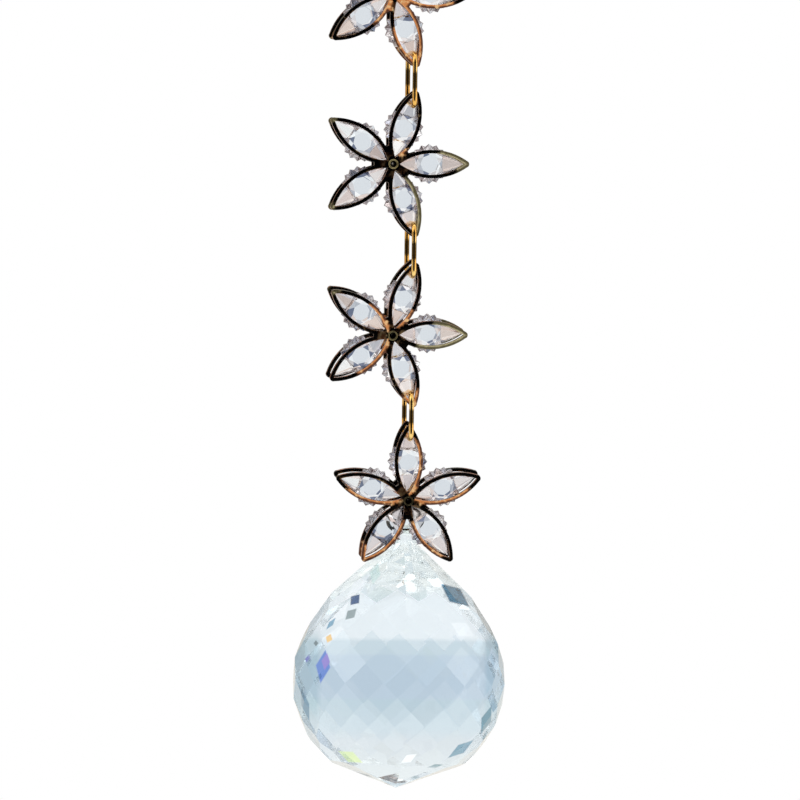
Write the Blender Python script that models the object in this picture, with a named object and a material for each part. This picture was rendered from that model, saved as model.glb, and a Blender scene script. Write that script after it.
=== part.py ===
"""Crystal suncatcher: a chain of openwork five-petal flowers set with faceted crystals, and a crystal ball.

Metres, +Z up. The origin is where a hook bears inside the hanging ring, and the flowers face -Y.
"""

from math import atan2, cos, pi, radians, sin, sqrt

import bmesh
import bpy
from mathutils import Matrix, Vector

# Clearances
FIT_GAP = 0.0003  # between pieces that rest on each other or clamp each other
EYELET_GAP = 0.00015  # around the eyelets, which are the smallest pieces
HOOK_GAP = 0.0004  # on each side of a link's wire in a petal's opening
LINK_SIDE_GAP = 0.0006  # between a link's straight runs and the flower frames, which swing a little

# Petal crystals
CRYSTAL_RADIUS = 0.0028
TABLE_RADIUS = 0.00135
CROWN_HEIGHT = 0.0009
GIRDLE_HEIGHT = 0.0007
CRYSTAL_SPACING = 0.00057  # between the edges of two neighbours
WINDOW_GAP = 0.0001  # from a crystal's drawn-out ends to the ends of its petal's opening

# Stamped flower frames
PETAL_COUNT = 5
PETAL_TIP_LENGTH = 0.00295  # from a crystal's edge to the petal's tip
PETAL_HALF_WIDTH = 0.0020
RIM_WIDTH = 0.00055
TIP_RIM = 0.0009
HUB_RIM = 0.0004
WEB_REACH = 0.0023
FRAME_THICKNESS = 0.0007

# Eyelets
EYELET_BORE_RADIUS = 0.00022
EYELET_WALL = 0.00016
EYELET_FLANGE_WIDTH = 0.00032
EYELET_FLANGE_THICKNESS = 0.0002

# Wire links
LINK_WIRE_RADIUS = 0.00035
LINK_CORNER_RADIUS = 0.0012
TIP_DISTANCE = 0.00275  # between the two petal tips inside a link
LOW_TIP_DISTANCE = 0.0019  # the same in the lowest link, which is shorter

# Hanging ring, whose inside rests on the hook
HANGING_RING_INNER_RADIUS = 0.0050
HANGING_RING_WIRE_RADIUS = 0.0005

# How each flower hangs, turned right and tipped forward, and each link, from the top down, in degrees
FLOWER_YAWS = (8.0, 6.0, 9.0, 6.0)
FLOWER_PITCHES = (1.0, -2.0, 4.0, 5.0)
LINK_YAWS = (8.0, 9.0, 9.0, 9.0)
SIDE_ROLL = 0.0  # one petal points right, and the chain runs through the two beside it
TOP_ROLL = 90.0  # one petal points up
BALL_LEAN = 4.0  # the ball's neck leans away from the front
BALL_TILT = 1.3  # its point swings to the left

# Ring that carries the ball on the lowest flower's back frame
BALL_RING_RADIUS = 0.00242
BALL_RING_WIRE_RADIUS = 0.0003
BALL_RING_HUB_DISTANCE = 0.00105  # from the hub hole's edge to the middle of the wire

# Crystal ball: staggered belts of facets, a flatter point below and a cone up to the neck above
BALL_RADIUS = 0.01485  # from the centre to the belts' facets
POINT_CUT = 0.00071  # how much nearer the centre the point's facets are
SHOULDER_RISE = 0.00025  # how much further out the shoulder's facets are
POINT_ANGLE = 21.5  # each angle, in degrees, is from straight down to where the facets face
SHOULDER_ANGLE = 135.0
BELT_FIRST_ANGLE = 45.0
BELT_STEP_ANGLE = 11.25
BELT_ROWS = 8
BELT_FACETS = 16
END_FACETS = 8  # round the point and round the shoulder
FACET_TURN = 4.0  # how far the facets are turned about the ball's axis, in degrees

# The ball's neck
NECK_BASE_HALF_WIDTH = 0.00185
NECK_TOP_RADIUS = 0.00057
NECK_LENGTH = 0.0048
NECK_HOLE_BELOW_TOP = 0.0030
NECK_HOLE_GAP = 0.00015

# Fineness of the round shapes
ARC_STEPS = 6
HUB_STEPS = 10
EYELET_STEPS = 10
CORNER_STEPS = 4
WIRE_SIDES = 8
HANGING_RING_STEPS = 28
BALL_RING_STEPS = 20
BALL_RING_SIDES = 6
HOLE_STEPS = 12

# Colours, each with its roughness and its metallic value
FRAME_METAL = ("frame_metal", (0.07, 0.035, 0.02), 0.3, 1.0)
GOLD_WIRE = ("gold_wire", (0.80, 0.56, 0.24), 0.22, 1.0)
EYELET_METAL = ("eyelet_metal", (0.35, 0.29, 0.14), 0.3, 1.0)
PETAL_CRYSTAL = ("petal_crystal", (0.72, 0.76, 0.82), 0.05, 0.0)
BALL_CRYSTAL = ("ball_crystal", (0.80, 0.87, 0.93), 0.02, 0.0)

# Worked out from the sizes above
petal_step = 2 * pi / PETAL_COUNT
crystal_reach = (CRYSTAL_RADIUS + CRYSTAL_SPACING / 2) / sin(petal_step / 2)
petal_reach = crystal_reach + CRYSTAL_RADIUS + PETAL_TIP_LENGTH
hub_hole_radius = EYELET_BORE_RADIUS + EYELET_WALL + EYELET_GAP
opening_start = hub_hole_radius + HUB_RIM
opening_end = petal_reach - TIP_RIM
opening_half_width = PETAL_HALF_WIDTH - RIM_WIDTH
outer_end = opening_end - WINDOW_GAP - crystal_reach
hub_end = crystal_reach - opening_start - WINDOW_GAP
shoulder_depth = BALL_RADIUS + SHOULDER_RISE
neck_base_height = (shoulder_depth - NECK_BASE_HALF_WIDTH * sin(radians(SHOULDER_ANGLE))) / -cos(
    radians(SHOULDER_ANGLE)
)
neck_top_height = neck_base_height + NECK_LENGTH


def clear_scene():
    for item in list(bpy.data.objects):
        bpy.data.objects.remove(item, do_unlink=True)


def material(name, colour, roughness, metallic):
    made = bpy.data.materials.new(name)
    made.use_nodes = True
    shader = made.node_tree.nodes["Principled BSDF"]
    shader.inputs["Base Color"].default_value = (*colour, 1.0)
    shader.inputs["Roughness"].default_value = roughness
    shader.inputs["Metallic"].default_value = metallic
    made.diffuse_color = (*colour, 1.0)
    return made


def piece(name, mesh, parent, location=(0, 0, 0), rotation=(0, 0, 0)):
    """One named object of the mesh, placed under its parent."""
    made = bpy.data.objects.new(name, mesh)
    bpy.context.scene.collection.objects.link(made)
    made.parent = parent
    made.location = location
    made.rotation_euler = rotation
    return made


def empty(name, parent=None, location=(0, 0, 0)):
    made = piece(name, None, parent, location)
    made.empty_display_size = PETAL_HALF_WIDTH
    return made


def finished_mesh(name, shape, look, round_piece):
    """The bmesh as a mesh with its faces out; a round piece is smooth but for its sharp edges."""
    bmesh.ops.recalc_face_normals(shape, faces=shape.faces[:])
    mesh = bpy.data.meshes.new(name)
    shape.to_mesh(mesh)
    shape.free()
    mesh.materials.append(look)
    if round_piece:
        mesh.shade_smooth()
        mesh.set_sharp_from_angle(angle=radians(35))
    return mesh


def ring_of(shape, points):
    """New vertices at the points, in order."""
    return [shape.verts.new(point) for point in points]


def join_rings(shape, first, second):
    """A band of quads between two closed rings of as many vertices."""
    for index in range(len(first)):
        after = (index + 1) % len(first)
        shape.faces.new((first[index], first[after], second[after], second[index]))


def arc_half_width(along, start, end, half_width):
    """Half the width, at a distance along it, of a marquise whose two sides are circle arcs."""
    half_length = (end - start) / 2
    radius = (half_length**2 + half_width**2) / (2 * half_width)
    from_middle = along - (start + end) / 2
    return sqrt(radius**2 - from_middle**2) - (radius - half_width)


def arc_place(width, start, end, half_width):
    """The distance along a marquise, past its middle, where it is this wide on each side."""
    half_length = (end - start) / 2
    radius = (half_length**2 + half_width**2) / (2 * half_width)
    return (start + end) / 2 + sqrt(radius**2 - (radius - half_width + width) ** 2)


def side_points(first, last, start, end, half_width):
    """Points (along, across) on one side of a marquise, from one distance to another."""
    points = []
    for step in range(ARC_STEPS + 1):
        # Cosine spacing keeps the arc's steps alike where it meets the tip.
        along = first + (last - first) * (1 - cos(pi * step / ARC_STEPS)) / 2
        points.append((along, max(arc_half_width(along, start, end, half_width), 0.0)))
    return points


def turned(along, across, angle, depth=0.0):
    """A point of a petal's own outline, turned by the petal's angle in the flower's plane."""
    x = along * cos(angle) - across * sin(angle)
    z = along * sin(angle) + across * cos(angle)
    return Vector((x, depth, z))


def frame_outline():
    """The frame's outer edge: five pointed petals, with a flat web end between each two."""
    upper = side_points(WEB_REACH, petal_reach, 0.0, petal_reach, PETAL_HALF_WIDTH)
    one_petal = [(along, -across) for along, across in upper] + upper[-2::-1]
    return [
        turned(along, across, petal * petal_step)
        for petal in range(PETAL_COUNT)
        for along, across in one_petal
    ]


def opening_outline(petal):
    """The marquise opening of one petal."""
    upper = side_points(opening_start, opening_end, opening_start, opening_end, opening_half_width)
    loop = [(along, -across) for along, across in upper] + upper[-2:0:-1]
    return [turned(along, across, petal * petal_step) for along, across in loop]


def circle(radius, steps):
    """(x, z) points of a circle."""
    angles = [2 * pi * step / steps for step in range(steps)]
    return [(radius * cos(angle), radius * sin(angle)) for angle in angles]


def frame_mesh(look):
    """One flat stamped frame, centred on its own thickness."""
    shape = bmesh.new()
    front = -FRAME_THICKNESS / 2
    hub_hole = [Vector((x, 0, z)) for x, z in circle(hub_hole_radius, HUB_STEPS)]
    loops = [frame_outline(), hub_hole] + [opening_outline(petal) for petal in range(PETAL_COUNT)]
    edges = []
    for loop in loops:
        ring = ring_of(shape, [point + Vector((0, front, 0)) for point in loop])
        edges += [shape.edges.new((ring[index - 1], ring[index])) for index in range(len(ring))]
    bmesh.ops.triangle_fill(shape, edges=edges, use_beauty=True, normal=(0, 1, 0))
    raised = bmesh.ops.extrude_face_region(shape, geom=shape.faces[:])["geom"]
    moving = [item for item in raised if isinstance(item, bmesh.types.BMVert)]
    bmesh.ops.translate(shape, verts=moving, vec=(0, FRAME_THICKNESS, 0))
    return finished_mesh("flower_frame", shape, look, True)


def crystal_mesh(look, outer, inner):
    """One round crystal, drawn out to a point towards the petal's tip and its hub, its tables facing along Y."""
    shape = bmesh.new()
    corners = 8
    table_depth = GIRDLE_HEIGHT / 2 + CROWN_HEIGHT

    def at(radius, count, depth):
        return ring_of(shape, [(x, depth, z) for x, z in circle(radius, count)])

    levels = [
        at(TABLE_RADIUS, corners, -table_depth),
        at(CRYSTAL_RADIUS, 2 * corners, -GIRDLE_HEIGHT / 2),
        at(CRYSTAL_RADIUS, 2 * corners, GIRDLE_HEIGHT / 2),
        at(TABLE_RADIUS, corners, table_depth),
    ]
    for girdle in levels[1:3]:
        girdle[0].co.x = outer
        girdle[corners].co.x = -inner
    join_rings(shape, levels[1], levels[2])
    for table, girdle in ((levels[0], levels[1]), (levels[3], levels[2])):
        shape.faces.new(table)
        for corner in range(corners):
            before = girdle[2 * corner - 1]
            level = girdle[2 * corner]
            after = girdle[2 * corner + 1]
            shape.faces.new((table[corner], before, level))
            shape.faces.new((table[corner], level, after))
            shape.faces.new((table[corner], after, table[(corner + 1) % corners]))
    return finished_mesh("petal_crystal", shape, look, False)


def eyelet_mesh(half_depth, look):
    """A hollow rivet along Y, with a flange outside each frame."""
    barrel = EYELET_BORE_RADIUS + EYELET_WALL
    flange = barrel + EYELET_FLANGE_WIDTH
    inner = half_depth + EYELET_GAP
    outer = inner + EYELET_FLANGE_THICKNESS
    profile = [
        (EYELET_BORE_RADIUS, -outer),
        (flange, -outer),
        (flange, -inner),
        (barrel, -inner),
        (barrel, inner),
        (flange, inner),
        (flange, outer),
        (EYELET_BORE_RADIUS, outer),
    ]
    shape = bmesh.new()
    rings = []
    for radius, depth in profile:
        rings.append(ring_of(shape, [(x, depth, z) for x, z in circle(radius, EYELET_STEPS)]))
    for index, ring in enumerate(rings):
        join_rings(shape, rings[index - 1], ring)
    return finished_mesh("flower_eyelet", shape, look, True)


def wire_mesh(name, path, normal, wire_radius, sides, look):
    """A closed loop of round wire along a flat path whose plane has this normal."""
    shape = bmesh.new()
    rings = []
    for index, point in enumerate(path):
        tangent = (path[(index + 1) % len(path)] - path[index - 1]).normalized()
        outward = tangent.cross(normal)
        section = circle(wire_radius, sides)
        rings.append(ring_of(shape, [point + outward * across + normal * up for across, up in section]))
    for index, ring in enumerate(rings):
        join_rings(shape, rings[index - 1], ring)
    return finished_mesh(name, shape, look, True)


def link_path(half_width, length):
    """A rounded rectangle in the YZ plane, its upper end at the origin."""
    corners = (
        (half_width - LINK_CORNER_RADIUS, -LINK_CORNER_RADIUS, 0),
        (LINK_CORNER_RADIUS - half_width, -LINK_CORNER_RADIUS, 1),
        (LINK_CORNER_RADIUS - half_width, LINK_CORNER_RADIUS - length, 2),
        (half_width - LINK_CORNER_RADIUS, LINK_CORNER_RADIUS - length, 3),
    )
    path = []
    for y, z, quarter in corners:
        for step in range(CORNER_STEPS + 1):
            angle = (quarter + step / CORNER_STEPS) * pi / 2
            path.append(Vector((0, y + LINK_CORNER_RADIUS * cos(angle), z + LINK_CORNER_RADIUS * sin(angle))))
    return path


def ring_path(radius, steps):
    """A circle in the XZ plane."""
    return [Vector((x, 0, z)) for x, z in circle(radius, steps)]


def facet_normal(polar, azimuth):
    """The direction a facet faces: its polar angle counts from straight down."""
    return Vector((sin(polar) * cos(azimuth), sin(polar) * sin(azimuth), -cos(polar)))


def ball_facets():
    """Every facet plane of the ball as its normal and its distance from the centre."""
    facets = []
    for turn in range(END_FACETS):
        azimuth = radians(FACET_TURN) + (turn + 0.5) * 2 * pi / END_FACETS
        facets.append((facet_normal(radians(POINT_ANGLE), azimuth), BALL_RADIUS - POINT_CUT))
        facets.append((facet_normal(radians(SHOULDER_ANGLE), azimuth), shoulder_depth))
    for row in range(BELT_ROWS):
        polar = radians(BELT_FIRST_ANGLE + row * BELT_STEP_ANGLE)
        for turn in range(BELT_FACETS):
            azimuth = radians(FACET_TURN) + (turn + (row % 2) / 2) * 2 * pi / BELT_FACETS
            facets.append((facet_normal(polar, azimuth), BALL_RADIUS))
    facets.append((Vector((0, 0, 1)), neck_base_height))
    return facets


def ball_mesh(look):
    """The ball cut from a block, one facet plane at a time, and its neck drawn up from the topmost face."""
    shape = bmesh.new()
    bmesh.ops.create_cube(shape, size=4 * BALL_RADIUS)
    for normal, depth in ball_facets():
        geometry = shape.verts[:] + shape.edges[:] + shape.faces[:]
        cut = bmesh.ops.bisect_plane(
            shape, geom=geometry, dist=1e-8, plane_co=normal * depth, plane_no=normal, clear_outer=True
        )
        edges = [item for item in cut["geom_cut"] if isinstance(item, bmesh.types.BMEdge)]
        if edges:
            bmesh.ops.edgeloop_fill(shape, edges=edges)
    top = max(shape.faces, key=lambda face: face.calc_center_median().z)
    reach = max(vert.co.xy.length for vert in top.verts)
    raised = bmesh.ops.extrude_discrete_faces(shape, faces=[top])["faces"][0]
    narrowing = NECK_TOP_RADIUS / reach
    for vert in raised.verts:
        vert.co = Vector((vert.co.x * narrowing, vert.co.y * narrowing, neck_top_height))
    return finished_mesh("crystal_ball", shape, look, False)


def neck_half_width(height):
    """Half the neck's width at a height above the ball's centre."""
    share = (height - neck_base_height) / NECK_LENGTH
    return NECK_BASE_HALF_WIDTH + (NECK_TOP_RADIUS - NECK_BASE_HALF_WIDTH) * share


def drill(target, centre_height, radius):
    """A round hole along X through the neck."""
    shape = bmesh.new()
    length = 4 * neck_half_width(centre_height)
    bmesh.ops.create_cone(
        shape, cap_ends=True, segments=HOLE_STEPS, radius1=radius, radius2=radius, depth=length
    )
    bmesh.ops.rotate(shape, verts=shape.verts[:], matrix=Matrix.Rotation(pi / 2, 3, "Y"))
    mesh = bpy.data.meshes.new("neck_hole_cutter")
    bmesh.ops.recalc_face_normals(shape, faces=shape.faces[:])
    shape.to_mesh(mesh)
    shape.free()
    centre = target.location + target.rotation_euler.to_matrix() @ Vector((0, 0, centre_height))
    cutter = piece("neck_hole_cutter", mesh, target.parent, centre, target.rotation_euler)
    cutter.hide_render = True
    cutter.display_type = "WIRE"
    hole = target.modifiers.new("neck_hole", "BOOLEAN")
    hole.operation = "DIFFERENCE"
    hole.solver = "EXACT"
    hole.object = cutter


def crown_depth(radius):
    """How far a crystal's crown stands from its middle plane at this radius."""
    share = min(1.0, (CRYSTAL_RADIUS - radius) / (CRYSTAL_RADIUS - TABLE_RADIUS))
    return GIRDLE_HEIGHT / 2 + CROWN_HEIGHT * share


def flower_turn(number):
    """How a flower is turned right and tipped forward."""
    yaw = Matrix.Rotation(radians(FLOWER_YAWS[number - 1]), 3, "Z")
    return yaw @ Matrix.Rotation(radians(FLOWER_PITCHES[number - 1]), 3, "X")


def crystal_cut(number, petal):
    """Which crystal a petal holds: a link leaves no room towards the tip, nor the ball's ring towards the hub."""
    if number < len(FLOWER_YAWS):
        return "linked_crystal" if petal in (1, PETAL_COUNT - 1) else "whole_crystal"
    if petal == 0:
        return "linked_crystal"
    return "ringed_crystal" if petal in (2, 3) else "whole_crystal"


def add_flower(number, roll, meshes, chain, frame_middle):
    """A flower's empty and pieces, with the empty still at the chain's top."""
    prefix = f"flower_{number}"
    holder = empty(prefix, chain)
    turn = flower_turn(number) @ Matrix.Rotation(-radians(roll), 3, "Y")
    holder.rotation_euler = turn.to_euler()
    piece(prefix + "_front_frame", meshes["frame"], holder, (0, -frame_middle, 0))
    piece(prefix + "_back_frame", meshes["frame"], holder, (0, frame_middle, 0))
    piece(prefix + "_eyelet", meshes["eyelet"], holder)
    for petal in range(PETAL_COUNT):
        angle = petal * petal_step
        place = turned(crystal_reach, 0, angle)
        mesh = meshes[crystal_cut(number, petal)]
        piece(f"{prefix}_crystal_{petal + 1}", mesh, holder, place, (0, -angle, 0))
    return holder, turn


def main():
    clear_scene()
    frame_metal = material(*FRAME_METAL)
    gold_wire = material(*GOLD_WIRE)
    eyelet_metal = material(*EYELET_METAL)
    petal_crystal = material(*PETAL_CRYSTAL)
    ball_crystal = material(*BALL_CRYSTAL)

    frame_inner = crown_depth(opening_half_width) + FIT_GAP
    frame_middle = frame_inner + FRAME_THICKNESS / 2
    frame_outer = frame_inner + FRAME_THICKNESS
    meshes = {
        "frame": frame_mesh(frame_metal),
        "eyelet": eyelet_mesh(frame_outer, eyelet_metal),
        "whole_crystal": crystal_mesh(petal_crystal, outer_end, hub_end),
        "linked_crystal": crystal_mesh(petal_crystal, CRYSTAL_RADIUS, hub_end),
        "ringed_crystal": crystal_mesh(petal_crystal, outer_end, CRYSTAL_RADIUS),
    }

    # A link's wire passes a petal where the opening still leaves it room on each side.
    hook_width = LINK_WIRE_RADIUS + HOOK_GAP
    hook_reach = arc_place(hook_width, opening_start, opening_end, opening_half_width)
    link_half_width = frame_outer + LINK_SIDE_GAP + LINK_WIRE_RADIUS
    link_length = 2 * (petal_reach - hook_reach) + TIP_DISTANCE
    low_link_length = 2 * (petal_reach - hook_reach) + LOW_TIP_DISTANCE
    sideways = Vector((1, 0, 0))

    def link(name, length):
        path = link_path(link_half_width, length)
        return wire_mesh(name, path, sideways, LINK_WIRE_RADIUS, WIRE_SIDES, gold_wire)

    link_mesh = link("link", link_length)
    low_link_mesh = link("low_link", low_link_length)
    ring_radius = HANGING_RING_INNER_RADIUS + HANGING_RING_WIRE_RADIUS
    ring_mesh = wire_mesh(
        "hanging_ring",
        ring_path(ring_radius, HANGING_RING_STEPS),
        Vector((0, 1, 0)),
        HANGING_RING_WIRE_RADIUS,
        WIRE_SIDES,
        gold_wire,
    )

    chain = empty("chain")
    piece("hanging_ring", ring_mesh, chain, (0, 0, -HANGING_RING_INNER_RADIUS))
    ring_bottom = -HANGING_RING_INNER_RADIUS - ring_radius
    link_top = Vector((0, 0, ring_bottom + HANGING_RING_WIRE_RADIUS + FIT_GAP + LINK_WIRE_RADIUS))
    link_bottom = link_top - Vector((0, 0, link_length))
    piece("top_link", link_mesh, chain, link_top, (0, 0, radians(LINK_YAWS[0])))

    # The chain is walked down: each flower hangs by one petal and carries the next link by another.
    last = len(FLOWER_YAWS)
    for number in range(1, last + 1):
        lowest = number == last
        holder, turn = add_flower(number, TOP_ROLL if lowest else SIDE_ROLL, meshes, chain, frame_middle)
        hung_by = turned(hook_reach, 0, 0.0 if lowest else petal_step)
        holder.location = link_bottom - turn @ hung_by
        if lowest:
            break
        carries = turned(hook_reach, 0, -petal_step)
        link_top = holder.location + turn @ carries
        above_lowest = number == last - 1
        length = low_link_length if above_lowest else link_length
        mesh = low_link_mesh if above_lowest else link_mesh
        piece(f"link_{number}", mesh, chain, link_top, (0, 0, radians(LINK_YAWS[number])))
        link_bottom = link_top - Vector((0, 0, length))

    # In the lowest flower's own axes, with Z towards its upper petal.
    tilt = flower_turn(last)
    neck_hole_height = neck_top_height - NECK_HOLE_BELOW_TOP
    neck_width = neck_half_width(neck_hole_height)
    ring_top_depth = frame_inner - FIT_GAP - BALL_RING_WIRE_RADIUS
    ring_top = Vector((0, ring_top_depth, -hub_hole_radius - BALL_RING_HUB_DISTANCE))
    behind = frame_outer + FIT_GAP + neck_width
    drop = sqrt((2 * BALL_RING_RADIUS) ** 2 - (behind - ring_top.y) ** 2)
    ring_low = Vector((0, behind, ring_top.z - drop))
    slope = atan2(behind - ring_top.y, drop)
    ball_ring_mesh = wire_mesh(
        "ball_ring",
        ring_path(BALL_RING_RADIUS, BALL_RING_STEPS),
        Vector((0, 1, 0)),
        BALL_RING_WIRE_RADIUS,
        BALL_RING_SIDES,
        frame_metal,
    )
    ring_turn = tilt @ Matrix.Rotation(slope, 3, "X")
    ring_place = holder.location + tilt @ ((ring_top + ring_low) / 2)
    piece("ball_ring", ball_ring_mesh, chain, ring_place, ring_turn.to_euler())

    sagitta = BALL_RING_RADIUS - sqrt(BALL_RING_RADIUS**2 - neck_width**2)
    hole_centre = holder.location + tilt @ ring_low
    ball_turn = Matrix.Rotation(radians(-BALL_LEAN), 3, "X") @ Matrix.Rotation(radians(BALL_TILT), 3, "Y")
    ball_place = hole_centre - ball_turn @ Vector((0, 0, neck_hole_height))
    ball = piece("crystal_ball", ball_mesh(ball_crystal), chain, ball_place, ball_turn.to_euler())
    drill(ball, neck_hole_height, BALL_RING_WIRE_RADIUS + sagitta + NECK_HOLE_GAP)

    # The ball hangs plumb under the hook.
    chain.rotation_euler = (-atan2(ball_place.y, -ball_place.z), 0, 0)


main()
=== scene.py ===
"""Dresses the crystal suncatcher: its flower frames, crystals, wires, glass ball and stage."""

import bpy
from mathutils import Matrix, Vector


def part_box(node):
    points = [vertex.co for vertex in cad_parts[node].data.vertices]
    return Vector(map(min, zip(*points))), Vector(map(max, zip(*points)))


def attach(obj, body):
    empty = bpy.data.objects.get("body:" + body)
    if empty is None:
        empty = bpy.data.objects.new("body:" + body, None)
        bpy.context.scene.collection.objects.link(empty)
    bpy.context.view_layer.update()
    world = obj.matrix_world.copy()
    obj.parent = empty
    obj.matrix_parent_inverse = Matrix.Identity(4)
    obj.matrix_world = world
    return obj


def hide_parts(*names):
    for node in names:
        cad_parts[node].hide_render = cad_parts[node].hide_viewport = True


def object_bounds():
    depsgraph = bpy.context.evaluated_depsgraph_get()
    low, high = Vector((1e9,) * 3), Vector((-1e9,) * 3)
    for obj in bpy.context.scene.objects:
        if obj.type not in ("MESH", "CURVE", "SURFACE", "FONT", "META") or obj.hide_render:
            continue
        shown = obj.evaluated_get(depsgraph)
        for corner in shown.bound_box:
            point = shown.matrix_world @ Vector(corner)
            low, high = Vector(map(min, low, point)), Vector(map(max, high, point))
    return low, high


bl_info = {
    "name": "Crystal Suncatcher",
    "version": (1, 0, 0),
    "blender": (4, 5, 0),
    "location": "3D View > Sidebar > Suncatcher",
    "description": "Builds a hanging suncatcher of jewelled flowers and a faceted crystal ball",
    "category": "Object",
}

from math import atan2, cos, pi, radians, sin, sqrt
from random import Random

import bmesh
import bpy
from mathutils import Matrix, Vector

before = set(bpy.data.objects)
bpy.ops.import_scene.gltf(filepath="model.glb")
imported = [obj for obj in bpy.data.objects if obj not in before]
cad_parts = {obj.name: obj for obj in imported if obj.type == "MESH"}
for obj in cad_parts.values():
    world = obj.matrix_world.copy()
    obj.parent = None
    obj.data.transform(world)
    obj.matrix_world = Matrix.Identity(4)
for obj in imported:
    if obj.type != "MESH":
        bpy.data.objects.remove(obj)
cad_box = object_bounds()

WHITE = (1.0, 1.0, 1.0)
FLOWERS = (1, 2, 3, 4)
PETALS = 5
PETAL_STEP = 2 * pi / PETALS
LINKS = ("top_link", "link_1", "link_2", "link_3")


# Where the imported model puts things


def corners_of(node):
    """A node's vertices as vectors."""
    return [vert.co.copy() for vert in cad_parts[node].data.vertices]


def middle_of(node):
    low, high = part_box(node)
    return (Vector(low) + Vector(high)) / 2


def span(node, space, axis):
    """The nearest and furthest that a node reaches along an axis of a space, from its origin."""
    direction = space.col[axis].to_3d()
    reaches = [(corner - space.translation).dot(direction) for corner in corners_of(node)]
    return min(reaches), max(reaches)


def flower_space(number):
    """A flower's own space: X along its first petal, Y beside it, Z out of its front, from its hub."""
    hub = middle_of(f"flower_{number}_eyelet")
    front, back = (middle_of(f"flower_{number}_{side}_frame") for side in ("front", "back"))
    out = (front - back).normalized()
    arms = [corner - hub for corner in corners_of(f"flower_{number}_crystal_1")]
    flat_arms = [arm - out * arm.dot(out) for arm in arms]
    along = max(flat_arms, key=lambda arm: arm.length).normalized()
    across = out.cross(along)
    space = Matrix((along, across, out)).transposed().to_4x4()
    space.translation = hub
    return space


def crystal_sizes(number, space):
    """How far a flower's crystals stand from its hub, and their radius and half depth."""
    home = space.inverted()
    corners = [home @ corner for corner in corners_of(f"flower_{number}_crystal_1")]
    widest = max(corners, key=lambda at: abs(at.y))
    return widest.x, abs(widest.y), max(at.z for at in corners)


# Node trees and shader maths


class Value:
    """A number in a shader tree. Sums on it add Math nodes."""

    def __init__(self, tree, socket):
        self.tree = tree
        self.socket = socket

    def math(self, operation, *others):
        return self.tree.out(self.tree.node("ShaderNodeMath", {"operation": operation}, self, *others))

    def __add__(self, other):
        return self.math("ADD", other)

    def __mul__(self, other):
        return self.math("MULTIPLY", other)

    def __sub__(self, other):
        return self.math("SUBTRACT", other)

    def __rsub__(self, other):
        return (self * -1.0).math("ADD", other)

    __radd__ = __add__
    __rmul__ = __mul__

    def above(self, low, high):
        """0 below low and 1 above high, with a smooth step between them."""
        settings = {"interpolation_type": "SMOOTHSTEP"}
        return self.tree.out(self.tree.node("ShaderNodeMapRange", settings, self, low, high, 0.0, 1.0))


class Tree:
    """A node tree, and one method that makes every node in it."""

    def __init__(self, tree):
        self.tree = tree

    def node(self, kind, settings=None, *values, **named):
        """A node of this kind: its settings are set first, then its sockets by place or by name."""
        made = self.tree.nodes.new(kind)
        for key, setting in (settings or {}).items():
            if key == "stops":
                self.fill_ramp(made.color_ramp, setting)
            else:
                setattr(made, key, setting)
        for place, value in enumerate(values):
            self.feed(made.inputs[place], value)
        for name, value in named.items():
            title = name.replace("_", " ").title()
            wanted = [socket for socket in made.inputs if socket.enabled and socket.name == title]
            self.feed(wanted[0], value)
        return made

    def fill_ramp(self, ramp, stops):
        while len(ramp.elements) < len(stops):
            ramp.elements.new(0.5)
        for element, (place, colour) in zip(ramp.elements, stops):
            element.position = place
            element.color = (*colour, 1.0)

    def feed(self, socket, value):
        if isinstance(value, Value):
            value = value.socket
        if isinstance(value, bpy.types.NodeSocket):
            self.tree.links.new(value, socket)
        elif socket.type == "RGBA":
            socket.default_value = (*value, 1.0)
        elif value is not None:
            socket.default_value = value

    def out(self, node, name=0):
        return Value(self, node.outputs[name])

    def mix(self, share, first, second, blend="MIX"):
        """A colour between two others."""
        node = self.node("ShaderNodeMix", {"data_type": "RGBA", "blend_type": blend}, share)
        self.feed(node.inputs[6], first)
        self.feed(node.inputs[7], second)
        return node.outputs[2]

    def multiply(self, share, first, second):
        return self.mix(share, first, second, "MULTIPLY")

    def ramp(self, share, stops, interpolation="LINEAR"):
        node = self.node("ShaderNodeValToRGB", {"stops": stops}, share)
        node.color_ramp.interpolation = interpolation
        return node.outputs["Color"]


class Look(Tree):
    """The tree of a new material, and its Principled shader."""

    def __init__(self, name, metallic=0.0, roughness=0.3):
        self.material = bpy.data.materials.new(name)
        self.material.use_nodes = True
        super().__init__(self.material.node_tree)
        self.shader = self.tree.nodes["Principled BSDF"]
        self.set(metallic=metallic, roughness=roughness)

    def places(self):
        return self.node("ShaderNodeTexCoord").outputs["Object"]

    def noise(self, scale, detail=3.0, at=None):
        node = self.node("ShaderNodeTexNoise", None, at or self.places(), scale=scale, detail=detail)
        return self.out(node, "Fac")

    def attribute(self, name):
        return self.out(self.node("ShaderNodeAttribute", {"attribute_name": name}), "Fac")

    def bump(self, height, distance, strength):
        node = self.node("ShaderNodeBump", None, strength=strength, distance=distance, height=height)
        self.feed(self.shader.inputs["Normal"], node.outputs["Normal"])

    def set(self, **named):
        for name, value in named.items():
            self.feed(self.shader.inputs[name.replace("_", " ").title().replace("Ior", "IOR")], value)
        return self.material


# The settings that a user would change


def number_property(name, description, default, **kind):
    return bpy.props.FloatProperty(name=name, description=description, default=default, **kind)


def length_property(name, description, default):
    return number_property(name, description, default, unit="LENGTH", precision=5)


def angle_property(name, description, degrees):
    return number_property(name, description, radians(degrees), subtype="ANGLE")


def count_property(name, description, default, least):
    return bpy.props.IntProperty(name=name, description=description, default=default, min=least)


def colour_property(name, part, default):
    kind = {"subtype": "COLOR", "size": 3, "min": 0.0, "max": 1.0}
    return bpy.props.FloatVectorProperty(name=name, description=f"Colour of {part}", default=default, **kind)


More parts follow.
